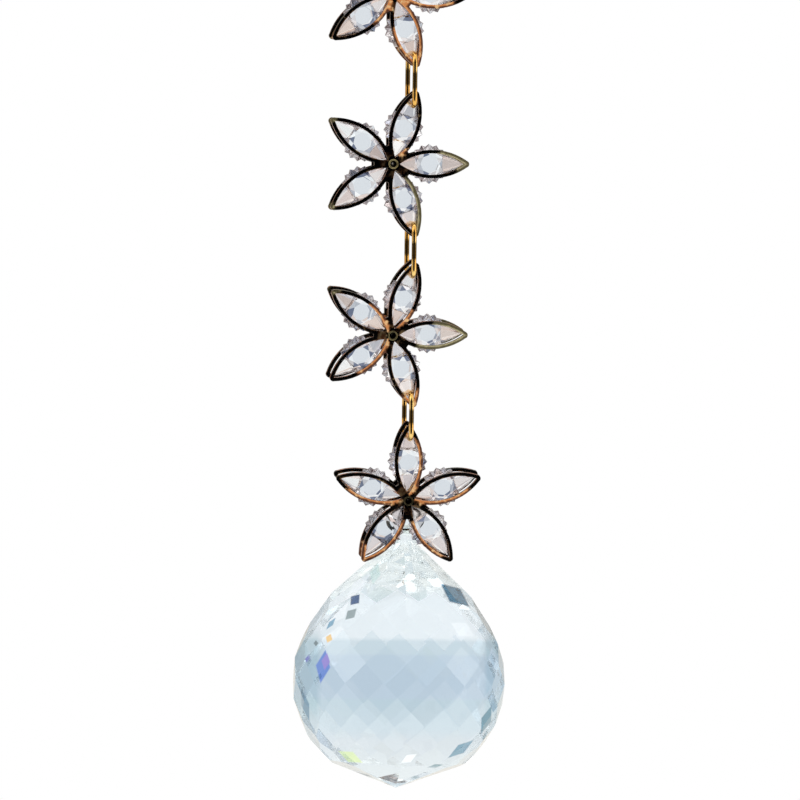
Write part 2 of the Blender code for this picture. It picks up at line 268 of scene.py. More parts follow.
class FrameSettings(bpy.types.PropertyGroup):
    rim_width: length_property("Rim width", "Width of the metal beside each petal's opening", 0.0005)
    tip_rim: length_property("Tip rim", "Metal beyond each opening's outer end", 0.00085)
    petal_half_width: length_property("Petal half width", "Half the width of a petal at its middle", 0.0020)
    tip_round: length_property("Tip round", "Radius of each petal's outer end", 0.0005)
    web_reach: length_property("Web reach", "Where the web between two petals ends", 0.0023)
    hub_rim: length_property("Hub rim", "Metal between the hub hole and each opening", 0.0004)
    hub_hole: length_property("Hub hole", "Radius of the hole for the eyelet", 0.00053)
    edge_round: length_property("Edge round", "Rounding of the stamped edges", 0.00005)
    arc_steps: count_property("Arc steps", "Points along each side of a petal", 18, 4)
    copper: colour_property("Copper", "the cut edges", (0.50, 0.18, 0.08))
    # The next three are painted light: the lit and shaded sides of the rims' copper highlights, and their
    # glints
    lit_copper: colour_property("Bright copper", "the rubbed edges", (0.78, 0.29, 0.085))
    shaded_copper: colour_property("Shaded copper", "rubbed rims' outer side", (0.12, 0.038, 0.014))
    glint_copper: colour_property("Glint copper", "the brightest rubbed spots", (0.95, 0.58, 0.26))
    # Olive gold colours the cut edges' plating and, with pale olive, the painted olive highlights on the
    # rims
    olive: colour_property("Olive gold", "the worn plating", (0.12, 0.098, 0.040))
    lit_olive: colour_property("Pale olive", "the lightest worn plating", (0.55, 0.48, 0.26))
    # The near-black of the flat faces is a painted dark reflection
    dark_reflection: colour_property("Dark reflection", "the blackened faces", (0.014, 0.012, 0.011))


class WireSettings(bpy.types.PropertyGroup):
    link_corner: length_property("Link corner", "Bend radius of a link's corners", 0.0012)
    corner_steps: count_property("Corner steps", "Points in each bend", 14, 3)
    bar_cuts: count_property("Bar cuts", "Points along each straight side of a link", 5, 1)
    ring_steps: count_property("Ring steps", "Points round a ring", 96, 12)
    wire_sides: count_property("Wire sides", "Points round the wire", 20, 6)
    gold: colour_property("Gold", "the wire", (0.86, 0.47, 0.11))
    pale_gold: colour_property("Pale gold", "its lighter patches", (0.95, 0.66, 0.24))
    # The links' straight bars take a painted dark reflection, with gold left at the bends
    dark_bar_reflection: colour_property("Dark bar reflection", "the links' darkened bars", (0.060, 0.036, 0.010))
    dark: colour_property("Dark wire", "the ball's ring", (0.030, 0.026, 0.022))
    eyelet: colour_property("Eyelet", "the eyelets", (0.42, 0.35, 0.17))


class CrystalSettings(bpy.types.PropertyGroup):
    girdle_scallop: length_property("Girdle scallop", "Depth of the notches round the girdle", 0.00034)
    bend: number_property("Bend of light", "Index of refraction", 1.6)
    rim_frost: number_property("Rim frost", "Roughness of the facets by the girdle", 0.22)
    # Facet tints painted on the crystals as the reflections their facets throw back
    clear: colour_property("Clear", "the clear facets", (0.84, 0.81, 0.80))
    slate: colour_property("Slate", "the grey-blue facets", (0.19, 0.20, 0.25))
    navy: colour_property("Navy", "the darkest facets", (0.035, 0.045, 0.085))
    peach: colour_property("Peach", "the warm facets", (0.70, 0.50, 0.42))
    seed: count_property("Seed", "Which facets take which tint", 3, 0)


class BallSettings(bpy.types.PropertyGroup):
    radius: length_property("Radius", "From the ball's middle down to its point", 0.0149)
    bend: number_property("Bend of light", "Index of refraction", 1.52)
    softness: number_property("Softness", "Roughness of the glass", 0.035)
    clear: colour_property("Clear", "the glass", (0.835, 0.865, 0.870))


class StageSettings(bpy.types.PropertyGroup):
    camera_distance: length_property("Camera distance", "From the camera to what it aims at", 1.0)
    view_width: length_property("View width", "Width of the view where the camera aims", 0.11302)
    aim: bpy.props.FloatVectorProperty(
        name="Aim", description="What the camera aims at", default=(-0.00129, 0.0, -0.08233), subtype="XYZ"
    )
    azimuth: angle_property("Azimuth", "How far round the camera stands", 0.0)
    elevation: angle_property("Elevation", "How far up the camera stands", 6.5)
    roll: angle_property("Roll", "How far the camera is tilted", 0.44)
    floor_drop: length_property("Floor drop", "From the lowest point down to the floor", 0.25)
    floor_radius: length_property("Floor radius", "Half the width of the floor", 0.5)


# Shared mesh work


def meshed(name, shape):
    """The bmesh as a mesh whose faces look out."""
    bmesh.ops.recalc_face_normals(shape, faces=shape.faces[:])
    mesh = bpy.data.meshes.new(name)
    shape.to_mesh(mesh)
    shape.free()
    return mesh


def in_scene(name, data):
    piece = bpy.data.objects.new(name, data)
    bpy.context.scene.collection.objects.link(piece)
    return piece


def finished(name, shape, look):
    """The bmesh as an object of its own in the scene."""
    piece = in_scene(name, meshed(name, shape))
    piece.data.materials.append(look)
    return piece


def settled(piece):
    """The piece with its modifiers made part of a plain mesh."""
    graph = bpy.context.evaluated_depsgraph_get()
    mesh = bpy.data.meshes.new_from_object(piece.evaluated_get(graph))
    mesh.name = piece.name
    piece.modifiers.clear()
    piece.data = mesh
    return piece


def smoothed(piece, sharp_degrees):
    piece.data.shade_smooth()
    piece.data.set_sharp_from_angle(angle=radians(sharp_degrees))
    return piece


def marked(mesh, name, domain, values):
    """Gives each face or point of the mesh a number that a look reads."""
    mesh.attributes.new(name, "FLOAT", domain).data.foreach_set("value", values)


def eased(value, low, high):
    share = min(max((value - low) / (high - low), 0.0), 1.0)
    return share * share * (3 - 2 * share)


def placed(piece, space):
    """The piece moved into place in its mesh, with its object left at the origin."""
    piece.data.transform(space)
    piece.data.update()
    return piece


def handed_in(piece, slot, *nodes):
    """The piece rides with the model and stands for its nodes."""
    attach(piece, "root")
    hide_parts(*nodes)
    return piece


def joined_rings(shape, first, second):
    for index in range(len(first)):
        after = (index + 1) % len(first)
        shape.faces.new((first[index], first[after], second[after], second[index]))


def circle(radius, steps, turn=0.0):
    angles = [2 * pi * (step + turn) / steps for step in range(steps)]
    return [(radius * cos(angle), radius * sin(angle)) for angle in angles]


# Flower frames


def marquise_across(along, start, end, half_width):
    """Half the width of a marquise, whose sides are circle arcs, at a point along it."""
    half_length = (end - start) / 2
    radius = (half_length**2 + half_width**2) / (2 * half_width)
    offset = min(abs(along - (start + end) / 2), half_length)
    return max(sqrt(radius**2 - offset**2) - (radius - half_width), 0.0)


def marquise_side(first, last, start, end, half_width, steps):
    """Points (along, across) on one side of a marquise."""
    shares = [(1 - cos(pi * step / steps)) / 2 for step in range(steps + 1)]
    places = [first + (last - first) * share for share in shares]
    return [(along, marquise_across(along, start, end, half_width)) for along in places]


def rounded_tip(side, reach, half_width, radius):
    """A petal's side with its sharp end replaced by a small arc."""
    half_angle = 2 * atan2(half_width, reach / 2)
    centre = reach - radius / sin(half_angle)
    start = centre + radius * sin(half_angle)
    kept = [point for point in side if point[0] < start - 0.00005]
    for step in range(6):
        angle = (pi / 2 - half_angle) * (1 - step / 5)
        kept.append((centre + radius * cos(angle), radius * sin(angle)))
    return kept


def turned(points, petal):
    angle = petal * PETAL_STEP
    return [(x * cos(angle) - y * sin(angle), x * sin(angle) + y * cos(angle)) for x, y in points]


def mirrored_outline(side, closed_ends):
    """One side's points, forwards below the petal's middle line and back above it."""
    back = side[-2:0:-1] if closed_ends else side[-2::-1]
    return [(along, -across) for along, across in side] + back


def opening_of(sizes, reach):
    """Where a petal's opening starts and ends, and half its width."""
    return sizes.hub_hole + sizes.hub_rim, reach - sizes.tip_rim, sizes.petal_half_width - sizes.rim_width


def frame_loops(sizes, reach):
    """The outer edge, the hub hole and the five openings of a frame."""
    side = marquise_side(sizes.web_reach, reach, 0.0, reach, sizes.petal_half_width, sizes.arc_steps)
    petal = mirrored_outline(rounded_tip(side, reach, sizes.petal_half_width, sizes.tip_round), False)
    start, end, half_width = opening_of(sizes, reach)
    opening = mirrored_outline(marquise_side(start, end, start, end, half_width, sizes.arc_steps), True)
    edge = [point for turn in range(PETALS) for point in turned(petal, turn)]
    return [edge, circle(sizes.hub_hole, 24)] + [turned(opening, turn) for turn in range(PETALS)]


TIP = 0.012  # past every petal's tip
# Painted highlights along the rims: flower, petal's angle, side (1 anticlockwise, -1 clockwise, 0 both),
# start, end
RIM_HIGHLIGHTS = {
    "copper": (
        (1, 290, 1, 0.0005, TIP),
        (1, 290, -1, 0.0052, TIP),
        (1, 2, -1, 0.0020, 0.0085),
        (1, 218, 1, 0.0005, 0.0052),
        (2, 74, -1, 0.0015, 0.0030),
        (3, 146, -1, 0.0010, 0.0058),
        (3, 74, -1, 0.0012, 0.0048),
        (3, 218, 1, 0.0010, 0.0075),
        (3, 290, 0, 0.0088, TIP),
        (4, 18, -1, 0.0008, 0.0088),
        (4, 90, -1, 0.0008, 0.0090),
        (4, 162, 1, 0.0012, 0.0085),
        (4, 234, 1, 0.0032, TIP),
        (4, 234, -1, 0.0088, TIP),
        (4, 306, -1, 0.0034, 0.0094),
    ),
    "olive": (
        (2, 2, 1, 0.0070, TIP),
        (2, 2, -1, 0.0092, TIP),
        (2, 146, 0, 0.0102, TIP),
        (2, 218, 0, 0.0104, TIP),
        (2, 290, 1, 0.0030, TIP),
        (3, 2, 1, 0.0060, TIP),
        (3, 2, -1, 0.0040, TIP),
        (3, 146, 0, 0.0104, TIP),
    ),
}


def frame_piece(name, sizes, reach, low, high, look):
    """One stamped frame between two heights in the flower's space."""
    shape = bmesh.new()
    edges = []
    for loop in frame_loops(sizes, reach):
        ring = [shape.verts.new((x, y, low)) for x, y in loop]
        edges += [shape.edges.new((ring[index - 1], ring[index])) for index in range(len(ring))]
    bmesh.ops.triangle_fill(shape, edges=edges, use_beauty=True, normal=(0, 0, 1))
    raised = bmesh.ops.extrude_face_region(shape, geom=shape.faces[:])["geom"]
    moving = [item for item in raised if isinstance(item, bmesh.types.BMVert)]
    bmesh.ops.translate(shape, verts=moving, vec=(0, 0, high - low))
    piece = finished(name, shape, look)
    bevel = piece.modifiers.new("edge_round", "BEVEL")
    bevel.width = sizes.edge_round
    bevel.segments = 2
    bevel.limit_method = "ANGLE"
    bevel.angle_limit = radians(50)
    bevel.use_clamp_overlap = False
    settled(piece)
    flat_sides = [float(abs(face.normal.z) > 0.25) for face in piece.data.polygons]
    marked(piece.data, "flat_side", "FACE", flat_sides)
    return smoothed(piece, 28)


def mark_rim_highlights(piece, number, space, sizes, petal_reach):
    """Point attributes that say where the rims take painted highlights in copper and in olive gold."""
    first = space.col[0]
    lead = atan2(first.z, first.x)
    # Each point's share of painted highlight, for each tone
    worn = {tone: [] for tone in RIM_HIGHLIGHTS}
    inward = []
    for vert in piece.data.vertices:
        angle = atan2(vert.co.y, vert.co.x)
        petal = round(angle / PETAL_STEP)
        offset = angle - petal * PETAL_STEP
        reach = vert.co.to_2d().length
        side = 1 if offset >= 0 else -1
        heading = (lead + petal * PETAL_STEP) % (2 * pi)
        for tone, stretches in RIM_HIGHLIGHTS.items():
            most = 0.0
            for flower, petal_angle, petal_side, start, end in stretches:
                apart = abs((heading - radians(petal_angle) + pi) % (2 * pi) - pi)
                if flower == number and apart <= PETAL_STEP / 2 and petal_side in (side, 0):
                    inside = eased(reach, start - 0.0012, start + 0.0008)
                    most = max(most, inside * (1 - eased(reach, end - 0.0010, end + 0.0010)))
            worn[tone].append(most)
        edge = marquise_across(reach * cos(offset), 0.0, petal_reach, sizes.petal_half_width)
        inward.append(min(max((edge - abs(reach * sin(offset))) / sizes.rim_width, 0.0), 1.0))
    for tone, values in worn.items():
        marked(piece.data, f"{tone}_wear", "POINT", values)
    marked(piece.data, "rim_depth", "POINT", inward)


def frame_look(sizes):
    """Polished copper in olive-gold patches; the flat sides painted with a dark reflection and highlights.
    """
    look = Look("stamped_copper", metallic=1.0)
    places = look.places()
    patches = look.noise(260.0, 4.0, places)
    fine_noise = look.noise(1400.0, 3.0, places)
    walls = look.mix(patches.above(0.46, 0.62), sizes.copper, sizes.olive)
    # Patches of painted dark reflection on the cut edges
    walls = look.mix(fine_noise.above(0.35, 0.62), sizes.dark_reflection, walls)
    breakup = (patches + fine_noise - 1.0) * 1.3
    # Where the rims take painted copper and olive-gold highlights, broken up by noise
    copper_gleam = (look.attribute("copper_wear") + breakup).above(0.22, 0.80)
    olive_gleam = (look.attribute("olive_wear") + breakup).above(0.22, 0.80)
    inner = look.attribute("rim_depth")
    # Painted copper highlights: shaded at a rim's outer edge, lit towards its opening, with painted glints
    rubbed = look.mix((inner + breakup * 0.5).above(0.35, 0.85), sizes.shaded_copper, sizes.lit_copper)
    rubbed = look.mix((fine_noise + inner * 0.15).above(0.62, 0.78), rubbed, sizes.glint_copper)
    # A faint painted copper highlight along the edge of every opening
    copper_gleam = copper_gleam.math("MAXIMUM", (inner + breakup).above(0.80, 1.15) * 0.22)
    # The flat sides: a painted dark reflection under the painted copper highlights
    faces = look.mix(copper_gleam * 0.97, sizes.dark_reflection, rubbed)
    # Painted olive-gold highlights, paler towards each opening
    olive_gleam_tone = look.mix((inner + breakup * 0.6).above(0.45, 1.0), sizes.olive, sizes.lit_olive)
    faces = look.mix(olive_gleam * 0.92, faces, olive_gleam_tone)
    flat_side = look.attribute("flat_side")
    # The painted highlights on the flat sides are less metallic and a little rougher
    flat_gleam = (copper_gleam + olive_gleam) * flat_side
    look.bump(fine_noise, 0.00002, 0.25)
    return look.set(
        base_color=look.mix(flat_side, walls, faces),
        metallic=1.0 - flat_gleam.above(0.0, 1.0) * 0.75,
        roughness=0.20 + fine_noise * 0.16 + flat_gleam * 0.12,
    )


class SUNCATCHER_OT_frames(bpy.types.Operator):
    """Build the stamped frames of every flower"""

    bl_idname = "suncatcher.frames"
    bl_label = "Flower Frames"

    def execute(self, context):
        sizes = context.scene.suncatcher_frames
        look = frame_look(sizes)
        for number in FLOWERS:
            space = flower_space(number)
            for side in ("front", "back"):
                node = f"flower_{number}_{side}_frame"
                low, high = span(node, space, 2)
                reach = span(node, space, 0)[1]
                piece = frame_piece(f"{side}_frame_{number}", sizes, reach, low, high, look)
                mark_rim_highlights(piece, number, space, sizes, reach)
                handed_in(placed(piece, space), "frame_metal", node)
        return {"FINISHED"}


# Eyelets


EYELET_WALL = 0.00015
EYELET_BORE_SHARE = 0.32  # of the flange's radius
EYELET_MOUTH_SHARE = 0.66
# How far the rolled rim of each flower's eyelet is blackened with painted shade
EYELET_PAINTED_SHADE = {1: 0.0, 2: 0.0, 3: 0.45, 4: 0.85}


def eyelet_piece(name, bore, flange, high, painted_shade, look):
    """A hollow rivet turned from its profile: a rolled rim, a dished mouth and a bore."""
    mouth = flange * EYELET_MOUTH_SHARE
    roll = (flange - mouth) / 2
    middle = mouth + roll
    lift = high - roll * 0.8
    profile = [(bore, 0.0), (bore, lift - 0.00034), (mouth * 0.8, lift - 0.00014), (mouth, lift)]
    for step in range(1, 9):
        angle = pi - pi * step / 8
        profile.append((middle + roll * cos(angle), lift + roll * 0.8 * sin(angle)))
    barrel = bore + EYELET_WALL
    profile.append((flange * 0.9, lift - roll * 0.5))
    profile.append((barrel, lift - 0.00036))
    profile.append((barrel, 0.0))
    upper = profile[1:]
    lower = [(radius, -height) for radius, height in reversed(upper)]
    shape = bmesh.new()
    rings = []
    for radius, height in upper + lower[1:]:
        rings.append([shape.verts.new((x, y, height)) for x, y in circle(radius, 28)])
    for index, ring in enumerate(rings):
        joined_rings(shape, rings[index - 1], ring)
    piece = finished(name, shape, look)
    # The dished mouth and the bore are marked for painted shade, and the whole rivet by its flower's share
    inner = [1.0 - eased(vert.co.to_2d().length, mouth * 0.9, mouth * 1.04) for vert in piece.data.vertices]
    marked(piece.data, "mouth", "POINT", [max(share, painted_shade) for share in inner])
    return smoothed(piece, 50)


def eyelet_look(colours):
    look = Look("rolled_brass", metallic=1.0)
    grain = look.noise(1800.0, 3.0)
    colour = look.mix(grain.above(0.45, 0.70), colours.eyelet, (0.14, 0.11, 0.05))
    # Painted shade: near black where the mouth is marked
    colour = look.mix(look.attribute("mouth"), colour, (0.012, 0.010, 0.008))
    look.bump(grain, 0.00001, 0.3)
    return look.set(base_color=colour, roughness=0.22 + grain * 0.2)


class SUNCATCHER_OT_eyelets(bpy.types.Operator):
    """Build the hollow rivet at each flower's hub"""

    bl_idname = "suncatcher.eyelets"
    bl_label = "Eyelets"

    def execute(self, context):
        look = eyelet_look(context.scene.suncatcher_wires)
        for number in FLOWERS:
            space = flower_space(number)
            node = f"flower_{number}_eyelet"
            high = span(node, space, 2)[1]
            flange = span(node, space, 0)[1]
            bore = flange * EYELET_BORE_SHARE
            piece = eyelet_piece(f"eyelet_{number}", bore, flange, high, EYELET_PAINTED_SHADE[number], look)
            handed_in(placed(piece, space), "eyelet_metal", node)
        return {"FINISHED"}


# Petal crystals


TABLE_SHARE = 0.47  # of a crystal's radius
STAR_SHARE = 0.42  # of the way from its table out to its girdle
GIRDLE_SHARE = 0.26  # of its half depth
STAR_DEPTH_SHARE = 0.62  # of the way from its girdle up to its table
CORNERS = 8
GIRDLE_POINTS = 4 * CORNERS
WINDOW_STEP = 0.00001
WINDOW_GAP = 0.00006
WIRE_GAP = 0.00015
BESIDE = 0.0016  # how far beside a petal's middle line a wire is still in the crystal's way


def window_reach(angle, centre, start, end, half_width):
    """How far a petal's window reaches from a point on its middle line, at an angle to that line."""
    reach = 0.0
    while reach < end - start:
        along = centre + reach * cos(angle)
        aside = abs(reach * sin(angle))
        if not start < along < end or aside >= marquise_across(along, start, end, half_width):
            return reach
        reach += WINDOW_STEP
    return reach


def brilliant_mesh(radius, depth, scallop, windows):
    """A crystal about Z: table, stars, kites and girdle facets on both sides, drawn out to its window."""
    shape = bmesh.new()
    table = radius * TABLE_SHARE
    girdle = depth * GIRDLE_SHARE
    star = table + (radius - table) * STAR_SHARE
    star_depth = girdle + (depth - girdle) * STAR_DEPTH_SHARE
    sides = []
    for sign in (1, -1):
        tables = [shape.verts.new((x, y, sign * depth)) for x, y in circle(table, CORNERS)]
        stars = [shape.verts.new((x, y, sign * star_depth)) for x, y in circle(star, CORNERS, 0.5)]
        rim = []
        for step, (x, y) in enumerate(circle(radius, GIRDLE_POINTS)):
            reach = max(radius - (scallop if step % 2 else 0.0), windows[step] - WINDOW_GAP)
            rim.append(shape.verts.new((x * reach / radius, y * reach / radius, sign * girdle)))
        for corner in range(CORNERS):
            here = tables[corner]
            tip = stars[corner]
            last = stars[corner - 1]
            point = 4 * corner
            run = [rim[(point + step) % GIRDLE_POINTS] for step in range(-2, 3)]
            facets = [(here, tables[(corner + 1) % CORNERS], tip)]
            if windows[point] > radius:
                facets += [(here, tip, last), (last, tip, run[2])]
            else:
                facets += [(here, tip, run[2], last)]
            facets += [(tip, run[4], run[3]), (tip, run[3], run[2])]
            facets += [(last, run[2], run[1]), (last, run[1], run[0])]
            for facet in facets:
                shape.faces.new(facet)
        shape.faces.new(tables)
        sides.append(rim)
    joined_rings(shape, sides[0], sides[1])
    mesh = meshed("brilliant", shape)
    faces = mesh.polygons
    reaches = [max(mesh.vertices[index].co.to_2d().length for index in face.vertices) for face in faces]
    marked(mesh, "table", "FACE", [float(face.normal.z**2 > 0.99) for face in faces])
    marked(mesh, "rim", "FACE", [float(face.center.to_2d().length > star * 1.02) for face in faces])
    marked(mesh, "drawn_out", "FACE", [float(reach > radius * 1.04) for reach in reaches])
    return mesh


def wires_along(corners, unturn, low, high, height):
    """How far from the hub a wire lies in a petal, between two reaches and within a height."""
    places = [unturn @ corner for corner in corners]
    return [at.x for at in places if low < at.x < high and abs(at.y) < BESIDE and abs(at.z) < height]


def trimmed_at_wires(piece, space, middle, depth):
    """Draws the crystals' ends back from the links in the petals' tips and the ball's ring by the hub."""
    home = space.inverted()
    links = [home @ corner for node in LINKS for corner in corners_of(node)]
    ring = [home @ corner for corner in corners_of("ball_ring")]
    for petal in range(PETALS):
        unturn = Matrix.Rotation(-petal * PETAL_STEP, 3, "Z")
        outward = wires_along(links, unturn, middle, 1.0, depth)
        inward = wires_along(ring, unturn, 0.0, middle, depth * GIRDLE_SHARE + 0.0002)
        furthest = min(outward, default=1.0) - WIRE_GAP
        nearest = max(inward, default=0.0) + WIRE_GAP
        for vert in piece.data.vertices:
            at = unturn @ vert.co
            if abs(atan2(at.y, at.x)) < PETAL_STEP / 2:
                at.x = min(max(at.x, nearest), furthest)
                vert.co = unturn.inverted() @ at


def geometry_group(name, inputs):
    """A Geometry Nodes tree and its named inputs, which are numbers, or None for a material."""
    group = bpy.data.node_groups.new(name, "GeometryNodeTree")
    for way in ("INPUT", "OUTPUT"):
        group.interface.new_socket(name="Geometry", in_out=way, socket_type="NodeSocketGeometry")
    kinds = {float: "NodeSocketFloat", int: "NodeSocketInt"}
    for title, value in inputs.items():
        kind = kinds.get(type(value), "NodeSocketMaterial")
        socket = group.interface.new_socket(name=title, in_out="INPUT", socket_type=kind)
        if value is not None:
            socket.default_value = value
    tree = Tree(group)
    return tree, tree.node("NodeGroupInput").outputs


def ended(tree, geometry, material):
    """The finished tree, which lays the material on its geometry at the end."""
    covered = tree.node("GeometryNodeSetMaterial", geometry=geometry, material=material)
    tree.node("NodeGroupOutput", geometry=covered.outputs["Geometry"])
    return tree.tree


def made_by_nodes(name, mesh, group, inputs):
    """A piece that a Geometry Nodes tree makes. Inputs are found by name and set by identifier."""
    piece = in_scene(name, mesh)
    modifier = piece.modifiers.new(group.name, "NODES")
    modifier.node_group = group
    sockets = {item.name: item.identifier for item in group.interface.items_tree if item.in_out == "INPUT"}
    for title, value in inputs.items():
        modifier[sockets[title]] = value
    return settled(piece)


def petal_ring_tree():
    """Sets one crystal in each petal round the hub, and gives every facet its own random number."""
    inputs = {"Reach": 0.005, "Petals": PETALS, "Seed": 0, "Crystal Glass": None}
    tree, given = geometry_group("petal_ring", inputs)
    round_hub = tree.node("GeometryNodeMeshCircle", vertices=given["Petals"], radius=given["Reach"])
    place = tree.node("GeometryNodeInputPosition")
    turn = tree.node("FunctionNodeAlignEulerToVector", {"axis": "X"}, vector=place.outputs[0])
    crystals = tree.node(
        "GeometryNodeInstanceOnPoints",
        points=round_hub.outputs["Mesh"],
        instance=given["Geometry"],
        rotation=turn.outputs["Rotation"],
    )
    real = tree.node("GeometryNodeRealizeInstances", geometry=crystals.outputs["Instances"])
    random = tree.node("FunctionNodeRandomValue", {"data_type": "FLOAT"}, seed=given["Seed"])
    stored = tree.node(
        "GeometryNodeStoreNamedAttribute",
        {"data_type": "FLOAT", "domain": "FACE"},
        geometry=real.outputs["Geometry"],
        name="facet",
        value=random.outputs["Value"],
    )
    return ended(tree, stored.outputs["Geometry"], given["Crystal Glass"])


def crystal_look(tints):
    """Clear crystal painted with the reflections its facets throw back: slate and peach as well as white."""
    look = Look("petal_crystal_glass", roughness=0.0)
    facet = look.attribute("facet")
    stops = [
        (0.0, tints.navy),
        (0.16, tints.slate),
        (0.22, (0.40, 0.37, 0.37)),
        (0.30, tints.clear),
        (0.50, (0.66, 0.57, 0.55)),
        (0.64, tints.peach),
        (0.71, (1.0, 0.98, 0.96)),
        (0.91, (0.32, 0.33, 0.37)),
    ]
    teeth = [
        (0.0, (0.11, 0.08, 0.08)),
        (0.18, (0.32, 0.26, 0.26)),
        (0.42, (0.50, 0.42, 0.41)),
        (0.70, (0.60, 0.57, 0.62)),
        (0.86, (0.20, 0.21, 0.29)),
    ]
    ends = [
        (0.0, (0.76, 0.62, 0.57)),
        (0.20, (1.0, 0.94, 0.89)),
        (0.52, (0.72, 0.68, 0.68)),
        (0.78, (0.62, 0.42, 0.33)),
        (0.88, (0.44, 0.41, 0.43)),
    ]
    # Painted reflections by each facet's number: one set for most facets, one for the girdle, one for the
    # drawn-out ends
    rim = look.attribute("rim")
    colour = look.ramp(facet, stops, "CONSTANT")
    colour = look.mix(rim, colour, look.ramp(facet, teeth, "CONSTANT"))
    colour = look.mix(look.attribute("drawn_out"), colour, look.ramp(facet, ends, "CONSTANT"))
    colour = look.mix(look.attribute("table"), colour, tints.clear)
    frost = rim * tints.rim_frost
    return look.set(base_color=colour, transmission_weight=1.0, ior=tints.bend, roughness=frost)


class SUNCATCHER_OT_crystals(bpy.types.Operator):
    """Set a cut crystal in every petal of every flower"""

    bl_idname = "suncatcher.crystals"
    bl_label = "Petal Crystals"

    def execute(self, context):
        cut = context.scene.suncatcher_crystals
        stamped = context.scene.suncatcher_frames
        look = crystal_look(cut)
        tree = petal_ring_tree()
        for number in FLOWERS:
            space = flower_space(number)
            nodes = [f"flower_{number}_crystal_{petal}" for petal in range(1, PETALS + 1)]
            reach, radius, depth = crystal_sizes(number, space)
            start, end, half_width = opening_of(stamped, span(f"flower_{number}_front_frame", space, 0)[1])
            angles = [2 * pi * step / GIRDLE_POINTS for step in range(GIRDLE_POINTS)]
            windows = [window_reach(angle, reach, start, end, half_width) for angle in angles]
            mesh = brilliant_mesh(radius, depth, cut.girdle_scallop, windows)
            inputs = {"Reach": reach, "Petals": PETALS, "Seed": cut.seed + number, "Crystal Glass": look}
            piece = made_by_nodes(f"crystals_{number}", mesh, tree, inputs)
            trimmed_at_wires(piece, space, reach, depth)
            handed_in(placed(piece, space), "petal_crystal", *nodes)
        return {"FINISHED"}


# Wire links and rings


def wire_tree():
    """A closed loop of round wire: a rounded rectangle, or a circle where the corner is half the width."""
    inputs = {"Width": 0.006, "Length": 0.007, "Corner": 0.0012, "Wire": 0.00035}
    inputs.update({"Corner Steps": 12, "Bar Cuts": 5, "Sides": 16, "Metal": None})
    tree, given = geometry_group("wire_loop", inputs)
    box = tree.node("GeometryNodeCurvePrimitiveQuadrilateral", width=given["Width"], height=given["Length"])
    bent = tree.node(
        "GeometryNodeFilletCurve",
        {"mode": "POLY"},
        curve=box.outputs["Curve"],
        count=given["Corner Steps"],
        radius=given["Corner"],
    )
    cut = tree.node("GeometryNodeSubdivideCurve", curve=bent.outputs["Curve"], cuts=given["Bar Cuts"])
    section = tree.node("GeometryNodeCurvePrimitiveCircle", resolution=given["Sides"], radius=given["Wire"])
    curves = {"curve": cut.outputs["Curve"], "profile_curve": section.outputs["Curve"]}
    drawn = tree.node("GeometryNodeCurveToMesh", **curves)
    real = tree.node("GeometryNodeRealizeInstances", geometry=drawn.outputs["Mesh"])
    return ended(tree, real.outputs["Geometry"], given["Metal"])


def wire_piece(name, tree, node, corner, sizes, look):
    """A wire loop made where its node lies: the loop's plane and sizes are read from the node."""
    space, width, length, wire = loop_space(corners_of(node))
    inputs = {"Width": width, "Length": length, "Corner": corner or width / 2 * 0.9999, "Wire": wire}
    inputs["Corner Steps"] = sizes.corner_steps if corner else sizes.ring_steps // 4
    inputs["Bar Cuts"] = sizes.bar_cuts if corner else 0
    inputs.update({"Sides": sizes.wire_sides, "Metal": look})
    piece = made_by_nodes(name, bpy.data.meshes.new(name), tree, inputs)
    # Marks each link's straight bars (none on a ring), where the gold look paints a dark reflection
    bar = [0.0] * len(piece.data.vertices)
    if corner:
        straight = length / 2 - corner
        bar = [1 - eased(abs(vert.co.y), straight * 0.20, straight * 0.85) for vert in piece.data.vertices]
    marked(piece.data, "bar", "POINT", bar)
    piece.data.shade_smooth()
    return placed(piece, space)


def loop_space(points):
    """A flat wire loop's space, X across it and Y along it, and its sizes between wire middles."""
    centre = sum(points, Vector()) / len(points)
    arms = [point - centre for point in points]
    spread = Matrix(((0.0,) * 3,) * 3)
    for arm in arms:
        for row in range(3):
            for column in range(3):
                spread[row][column] += arm[row] * arm[column]
    normal = thinnest(spread)
    up = (Vector((0, 0, 1)) - normal * normal.z).normalized()
    across = up.cross(normal)
    reaches = [max(abs(arm.dot(direction)) for arm in arms) for direction in (across, up, normal)]
    wire = reaches[2]
    space = Matrix((across, up, normal)).transposed().to_4x4()
    space.translation = centre
    return space, 2 * (reaches[0] - wire), 2 * (reaches[1] - wire), wire


def thinnest(spread):
    """The direction in which points spread least: power steps on the inverse of their spread."""
    tiny = (spread[0][0] + spread[1][1] + spread[2][2]) * 1e-6
    inverse = (spread + Matrix.Identity(3) * tiny).inverted()
    direction = Vector((0.3, 0.5, 0.8))
    for _ in range(40):
        direction = (inverse @ direction).normalized()
    return direction


def gold_look(colours):
    """Bright gold plating on drawn wire, with fine scratches and paler rubbed patches."""
    look = Look("gold_plate", metallic=1.0)
    places = look.places()
    rubbed = look.noise(420.0, 3.0, places)
    stretch = look.node("ShaderNodeMapping", None, places, scale=(9.0, 9.0, 1.0))
    scratches = look.noise(900.0, 2.0, stretch.outputs["Vector"])
    colour = look.mix(rubbed.above(0.42, 0.66), colours.gold, colours.pale_gold)
    bar = (look.attribute("bar") + (rubbed - 0.5) * 0.5).above(0.30, 0.85)
    # Painted dark reflection on the links' straight bars
    colour = look.mix(bar * 0.92, colour, colours.dark_bar_reflection)
    look.bump(scratches, 0.00001, 0.2)
    return look.set(base_color=colour, roughness=0.10 + scratches * 0.16 + bar * 0.10)


